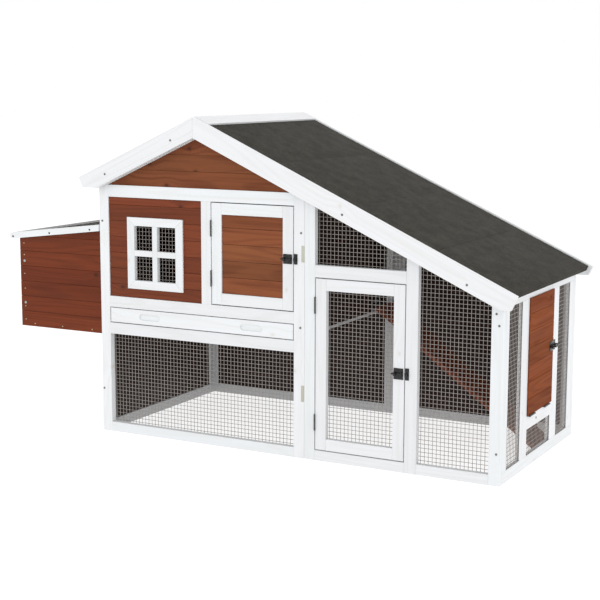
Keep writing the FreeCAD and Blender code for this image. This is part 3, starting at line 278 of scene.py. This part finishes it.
BARE_WOOD = wood(
    "bare_wood",
    pale=(0.56, 0.46, 0.32),
    deep=(0.40, 0.29, 0.17),
    knot=(0.16, 0.09, 0.05),
    bare=(0.60, 0.50, 0.36),
    figure=0.40,
    fibre=0.30,
    knots=0.8,
    wear=0.3,
    spread=0.15,
    gloss=(0.60, 0.80),
    sheen=0.3,
)
WHITEWASH = wood(
    "whitewashed_wood",
    pale=(0.60, 0.59, 0.50),
    deep=(0.46, 0.44, 0.35),
    knot=(0.30, 0.26, 0.18),
    bare=(0.50, 0.44, 0.32),
    figure=0.40,
    fibre=0.30,
    knots=0.5,
    wear=0.4,
    spread=0.1,
    gloss=(0.55, 0.75),
    sheen=0.3,
)


def roofing_felt():
    """Bitumen sheet with crushed slate pressed into it."""
    shader = Shader("roofing_felt", 0.9, specular=0.2)
    place = shader.place()
    chip = shader.node("ShaderNodeTexVoronoi", {"Vector": place, "Scale": 620.0})
    chance = shader.node("ShaderNodeSeparateColor", {0: chip.outputs["Color"]}).outputs[0]
    mottle = shader.noise(place, 22.0, 4.0, 0.6)
    scuff = shader.noise(place, 5.0, 3.0, 0.5)
    dark = (0.0155, 0.0142, 0.0112)
    light = (0.079, 0.074, 0.061)
    clusters = shader.noise(place, 210.0, 3.0, 0.7)
    grit = shader.fade(chance, 0.1, 1.0, 0.0, 0.42)
    mix = shader.maths("MULTIPLY_ADD", shader.fade(mottle, 0.3, 0.75), 0.26, grit)
    mix = shader.maths("MULTIPLY_ADD", shader.fade(clusters, 0.35, 0.7), 0.30, mix)
    colour = shader.mix(mix, dark, light)
    colour = shader.mix(shader.fade(scuff, 0.55, 0.8, 0.0, 0.14), colour, (0.12, 0.115, 0.10))
    lift = shader.maths("MULTIPLY", chance, 0.6)
    height = shader.maths("SUBTRACT", lift, chip.outputs["Distance"])
    return shader.finish(colour, height, 0.5 * MM)


def metal(name, base, tint, roughness, metallic, grain_scale, depth):
    """Plated, galvanised or coated steel with cloudy patches and a fine surface."""
    shader = Shader(name, roughness[0], metallic)
    place = shader.place()
    cloud = shader.noise(place, grain_scale, 4.0, 0.6)
    fine = shader.noise(place, grain_scale * 14, 2.0)
    shader.feed(shader.surface.inputs["Roughness"], shader.fade(cloud, 0.3, 0.7, *roughness))
    colour = shader.mix(shader.fade(cloud, 0.35, 0.7), base, tint)
    return shader.finish(colour, fine, depth)


def spangled_zinc():
    """Hot-dip zinc on sheet: flat crystals a few millimetres across."""
    shader = Shader("spangled_zinc", 0.35, 1.0)
    place = shader.place()
    crystal = shader.node("ShaderNodeTexVoronoi", {"Vector": place, "Scale": 110.0})
    chance = shader.node("ShaderNodeSeparateColor", {0: crystal.outputs["Color"]}).outputs[1]
    shader.feed(shader.surface.inputs["Roughness"], shader.fade(chance, 0.0, 1.0, 0.28, 0.5))
    colour = shader.mix(chance, (0.50, 0.51, 0.52), (0.68, 0.69, 0.70))
    return shader.finish(colour, shader.noise(place, 900.0), 0.03 * MM)


FELT = roofing_felt()
WIRE = metal(
    "galvanised_wire", (0.325, 0.295, 0.275), (0.43, 0.395, 0.37), (0.42, 0.60), 0.7, 160.0, 0.03 * MM)
BLACK = metal(
    "black_steel", (0.012, 0.012, 0.013), (0.030, 0.030, 0.031), (0.16, 0.28), 0.4, 90.0, 0.03 * MM)
PLATED = metal(
    "zinc_plated", (0.34, 0.40, 0.40), (0.46, 0.52, 0.52), (0.28, 0.42), 1.0, 240.0, 0.02 * MM)
NAIL = metal(
    "cream_nail_heads", (0.42, 0.34, 0.23), (0.54, 0.45, 0.32), (0.40, 0.55), 0.35, 240.0, 0.02 * MM)
DARK_STEEL = metal(
    "dark_screws", (0.07, 0.07, 0.065), (0.14, 0.14, 0.13), (0.35, 0.50), 0.8, 240.0, 0.02 * MM)
FRAME_SCREW = metal(
    "frame_screws", (0.17, 0.17, 0.16), (0.28, 0.28, 0.27), (0.35, 0.50), 0.6, 240.0, 0.02 * MM)
ZINC = spangled_zinc()


# --- pieces made from the frame's nodes ---------------------------------------------------------

# the ways in which the wood of each wall faces the inside of the coop; faces turned these ways get
# painted shade
BOTH_WAYS = ((1, 0, 0), (-1, 0, 0))
INWARDS = {
    "house_front_cladding": ((0, 1, 0),),
    "gable_cladding": ((0, 1, 0),),
    "house_door_cladding": ((0, 1, 0),),
    "left_wall_cladding": ((1, 0, 0),),
    "back_wall_cladding": ((0, -1, 0),),
    "divider_cladding": BOTH_WAYS,
    "ramp_door_planks": ((-1, 0, 0),),
    "back_wall_frame": ((0, -1, 0),),
    "left_wall_frame": ((1, 0, 0),),
    "divider_frame": BOTH_WAYS,
    "run_end_frame": ((-1, 0, 0),),
    "tray_runners": (*BOTH_WAYS, (0, 0, 1), (0, 0, -1)),
}


def welded(node):
    """A working copy of a node's mesh: closed, with its flat faces whole again."""
    work = bmesh.new()
    work.from_mesh(frame["nodes"][node].data)
    bmesh.ops.remove_doubles(work, verts=work.verts, dist=0.001 * MM)
    flat = math.radians(0.4)
    bmesh.ops.dissolve_limit(work, angle_limit=flat, verts=work.verts, edges=work.edges)
    return work


def break_edges(work, size):
    """Rounds the sharp edges, and returns what the bevel made."""
    sharp = [e for e in work.edges if len(e.link_faces) == 2 and e.calc_face_angle() > SHARP]
    return bmesh.ops.bevel(
        work,
        geom=sharp,
        offset=size * MM,
        segments=BEVEL_SEGMENTS,
        profile=0.5,
        affect="EDGES",
        clamp_overlap=True,
    )


def islands(work):
    """The separate solids of a mesh, each as a list of its faces."""
    seen = set()
    found = []
    for first in work.faces:
        if first in seen:
            continue
        seen.add(first)
        members = [first]
        for face in members:
            for edge in face.edges:
                for other in edge.link_faces:
                    if other not in seen:
                        seen.add(other)
                        members.append(other)
        found.append(members)
    return found


def board_axes(faces):
    """The directions along, across and through a board."""
    largest = max(faces, key=lambda face: face.calc_area())
    edges = (edge for face in faces for edge in face.edges)
    longest = max(edges, key=lambda edge: edge.calc_length())
    along = (longest.verts[1].co - longest.verts[0].co).normalized()
    if along.x + along.y * 2 + along.z * 4 < 0:
        along = -along
    through = (largest.normal - along * largest.normal.dot(along)).normalized()
    return along, through.cross(along), through


def link(name, mesh, material):
    made = bpy.data.objects.new(name, mesh)
    bpy.context.scene.collection.objects.link(made)
    made.data.materials.append(material)
    return made


def stand_for(piece, node):
    """The piece takes the place of a node: it moves with its body and has its finish."""
    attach(piece, BODY_OF[node])
    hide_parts(node)
    return piece


def boards(node, material, rounding):
    """A node's boards with eased edges, each with its own stretch of grain and its own tone."""
    inwards = [Vector(way) for way in INWARDS.get(node, ())]
    chance = random.Random(node)
    work = welded(node)
    grain = work.verts.layers.float_vector.new("grain")
    tone = work.verts.layers.float.new("tone")
    edge = work.faces.layers.float.new("edge")
    end = work.faces.layers.float.new("end")
    inner = work.faces.layers.float.new("inner")
    for face in break_edges(work, rounding)["faces"]:
        face[edge] = 1.0
        face.smooth = True
    work.normal_update()
    for faces in islands(work):
        along, across, through = board_axes(faces)
        shift = Vector([chance.uniform(-6, 6) for _ in range(3)])
        shade = chance.random()
        for vertex in {v for face in faces for v in face.verts}:
            at = vertex.co
            vertex[grain] = Vector((at.dot(along), at.dot(across), at.dot(through))) + shift
            vertex[tone] = shade
        for face in faces:
            if not face[edge] and abs(face.normal.dot(along)) > 0.7:
                face[end] = 1.0
            # faces that look into the coop are marked here for painted shade
            face[inner] = float(any(face.normal.dot(way) > 0.5 for way in inwards))
    mesh = bpy.data.meshes.new(f"{node}_boards")
    work.to_mesh(mesh)
    work.free()
    return stand_for(link(f"{node}_boards", mesh, material), node)


def eased(node, material, rounding):
    """A metal or sheet node with its sharp edges broken."""
    work = welded(node)
    break_edges(work, rounding)
    for face in work.faces:
        face.smooth = face.calc_area() < 40 * MM * MM
    mesh = bpy.data.meshes.new(f"{node}_eased")
    work.to_mesh(mesh)
    mesh.set_sharp_from_angle(angle=math.radians(38))
    work.free()
    return stand_for(link(f"{node}_eased", mesh, material), node)


def finish_node(node, material):
    for slot in frame["nodes"][node].material_slots:
        slot.material = material


# --- fasteners ---------------------------------------------------------------------------------


def places(node):
    """Centre and radius of each small round solid of a node."""
    work = welded(node)
    found = []
    for faces in islands(work):
        points = [v.co for face in faces for v in face.verts]
        low = Vector([min(p[i] for p in points) for i in range(3)])
        high = Vector([max(p[i] for p in points) for i in range(3)])
        size = high - low
        found.append(((low + high) / 2, max(size) / 2, size))
    work.free()
    return found


def head_mesh(work, centre, outwards, radius, height, crown, cross):
    """One fastener head: a domed disc, with a cross recess where cross is its width."""
    turn = outwards.to_track_quat("Z", "Y").to_matrix()
    around = HEAD_SIDES
    rings = [
        (0.0, 1.0), (0.3, 0.985), (0.55, 0.93), (0.8, 0.78), (0.95, 0.5), (1.0, 0.18), (1.0, 0.0),
    ]
    levels = []
    for reach, lift in rings:
        ring = []
        for i in range(around if reach else 1):
            angle = 2 * math.pi * i / around
            x, y = reach * radius * math.cos(angle), reach * radius * math.sin(angle)
            z = height * (lift * crown + (1 - crown) * min(1.0, lift * 2.4))
            if cross and reach < 0.62 and min(abs(x), abs(y)) < cross * 0.55:
                z -= height * 0.75
            ring.append(work.verts.new(centre + turn @ Vector((x, y, z))))
        levels.append(ring)
    for i in range(around):
        j = (i + 1) % around
        work.faces.new((levels[0][0], levels[1][i], levels[1][j]))
        for inner, outer in zip(levels[1:], levels[2:]):
            work.faces.new((inner[i], outer[i], outer[j], inner[j]))
    work.faces.new(list(reversed(levels[-1])))


def heads_of(node, material, crown, cross):
    """Detailed heads in the places of a node's plain ones."""
    work = bmesh.new()
    for centre, radius, size in places(node):
        thin = min(range(3), key=lambda i: size[i])
        outwards = Vector((1, 0, 0)) if thin == 0 else Vector((0, -1, 0))
        foot = centre - outwards * size[thin] / 2
        head_mesh(work, foot, outwards, radius, size[thin], crown, cross * radius)
    bmesh.ops.recalc_face_normals(work, faces=work.faces)
    for face in work.faces:
        face.smooth = True
    mesh = bpy.data.meshes.new(f"{node}_heads")
    work.to_mesh(mesh)
    mesh.set_sharp_from_angle(angle=math.radians(50))
    work.free()
    return stand_for(link(f"{node}_heads", mesh, material), node)


# --- dressing the coop -------------------------------------------------------------------------

WHITE_NODES = (
    "house_front_frame", "window_trim", "run_front_frame", "run_end_frame", "left_wall_frame",
    "back_wall_frame", "divider_frame", "rake_boards_front", "rake_boards_back", "ridge_boards",
    "house_door_frame", "run_door_frame", "tray_front", "nest_lid_trims", "roof_boards",
)
RED_NODES = (
    "house_front_cladding", "left_wall_cladding", "back_wall_cladding", "divider_cladding",
    "ramp_board", "ramp_treads", "tray_runners", "perch",
)
NEST_NODES = ("nest_box_sides", "nest_box_end")
BROWN_NODES = ("gable_cladding", "house_door_cladding")
BARE_NODES = (
    "nest_box_floor", "nest_box_posts", "nest_box_partition", "ramp_door_treads",
    "nest_lid_board",
)
WIRE_NODES = ("house_front_mesh", "run_front_mesh", "run_end_mesh", "run_door_mesh")
FELT_NODES = ("roof_felt_left", "roof_felt_right", "nest_lid_felt")
HINGE_NODES = (
    "house_door_hinge_leaves", "run_door_hinge_leaves", "nest_lid_hinge_leaves",
    "nest_lid_hinge_fixed_leaves", "door_hinge_fixed_leaves", "ramp_door_hinge_leaves",
)
BLACK_NODES = (
    "house_door_bolt_plate", "house_door_bolt_rod", "run_door_bolt_plate", "run_door_bolt_rod",
    "ramp_door_bolt_plate", "ramp_door_bolt_rod", "bolt_keepers",
)

for node in WHITE_NODES:
    boards(node, WHITE_PAINT, 0.5)
for node in RED_NODES:
    boards(node, RED_STAIN, 0.7)
for node in BROWN_NODES:
    boards(node, BROWN_STAIN, 1.2)
for node in NEST_NODES:
    boards(node, NEST_STAIN, 0.7)
# the ramp door takes the darker copy of the brown stain, painted shade against the side lamp
boards("ramp_door_planks", RAMP_DOOR_SHADED_STAIN, 1.0)
for node in BARE_NODES:
    boards(node, BARE_WOOD, 0.8)
boards("joining_keys", WHITEWASH, 0.8)
for node in WIRE_NODES:
    finish_node(node, WIRE)
for node in FELT_NODES:
    eased(node, FELT, 0.8)
for node in HINGE_NODES:
    eased(node, DARK_STEEL, 0.2)
for node in BLACK_NODES:
    eased(node, BLACK, 0.25)
eased("tray_pan", ZINC, 0.2)

heads_of("frame_screws", FRAME_SCREW, 0.5, 0.28)
heads_of("nest_lid_screws", DARK_STEEL, 0.5, 0.28)
heads_of("nest_box_nails", NAIL, 0.35, 0.0)
heads_of("nest_box_bolts", PLATED, 0.95, 0.0)


# --- studio ------------------------------------------------------------------------------------


def studio():
    """A pale seamless floor, an even white surround and three soft lights."""
    scene = bpy.context.scene
    scene.view_settings.view_transform = "Standard"
    shader = Shader("studio_floor", 0.85)
    shader.surface.inputs["Emission Color"].default_value = (1.0, 1.0, 1.0, 1.0)
    shader.surface.inputs["Emission Strength"].default_value = 0.85
    material = shader.finish((0.25, 0.25, 0.25))
    work = bmesh.new()
    bmesh.ops.create_grid(work, x_segments=1, y_segments=1, size=30.0)
    mesh = bpy.data.meshes.new("studio_floor")
    work.to_mesh(mesh)
    work.free()
    floor = link("studio_floor", mesh, material)
    floor.location.z = -0.6 * MM

    world = bpy.data.worlds.new("studio")
    scene.world = world
    world.use_nodes = True
    background = world.node_tree.nodes["Background"]
    background.inputs["Color"].default_value = (1.0, 1.0, 1.0, 1.0)
    background.inputs["Strength"].default_value = 1.0

    centre = (cad_low + cad_high) / 2
    for name, offset, size, power in (
        ("front_light", Vector((-1.2, -4.2, 2.6)), 2.6, 14.0),
        ("side_light", Vector((4.4, -1.0, 2.2)), 2.4, 18.0),
        ("top_light", Vector((0.3, 0.2, 4.5)), 3.0, 8.0),
    ):
        data = bpy.data.lights.new(name, "AREA")
        data.shape = "SQUARE"
        data.size = size
        data.energy = power
        light = bpy.data.objects.new(name, data)
        scene.collection.objects.link(light)
        light.location = centre + offset
        light.rotation_mode = "QUATERNION"
        light.rotation_quaternion = (-offset).to_track_quat("-Z", "Y")


def camera():
    """The view from the front right, a little above the roof's ridge."""
    data = bpy.data.cameras.new("camera")
    data.sensor_width = 36.0
    data.lens = 83.17
    data.clip_end = 100.0
    made = bpy.data.objects.new("camera", data)
    bpy.context.scene.collection.objects.link(made)
    turn = Matrix.Rotation(math.radians(28.048), 4, "Z")
    tilt = Matrix.Rotation(math.radians(90.0 - 8.966), 4, "X")
    roll = Matrix.Rotation(math.radians(0.137), 4, "Z")
    made.matrix_world = Matrix.Translation((2.1778, -4.0389, 1.1577)) @ turn @ tilt @ roll
    bpy.context.scene.camera = made


studio()
camera()
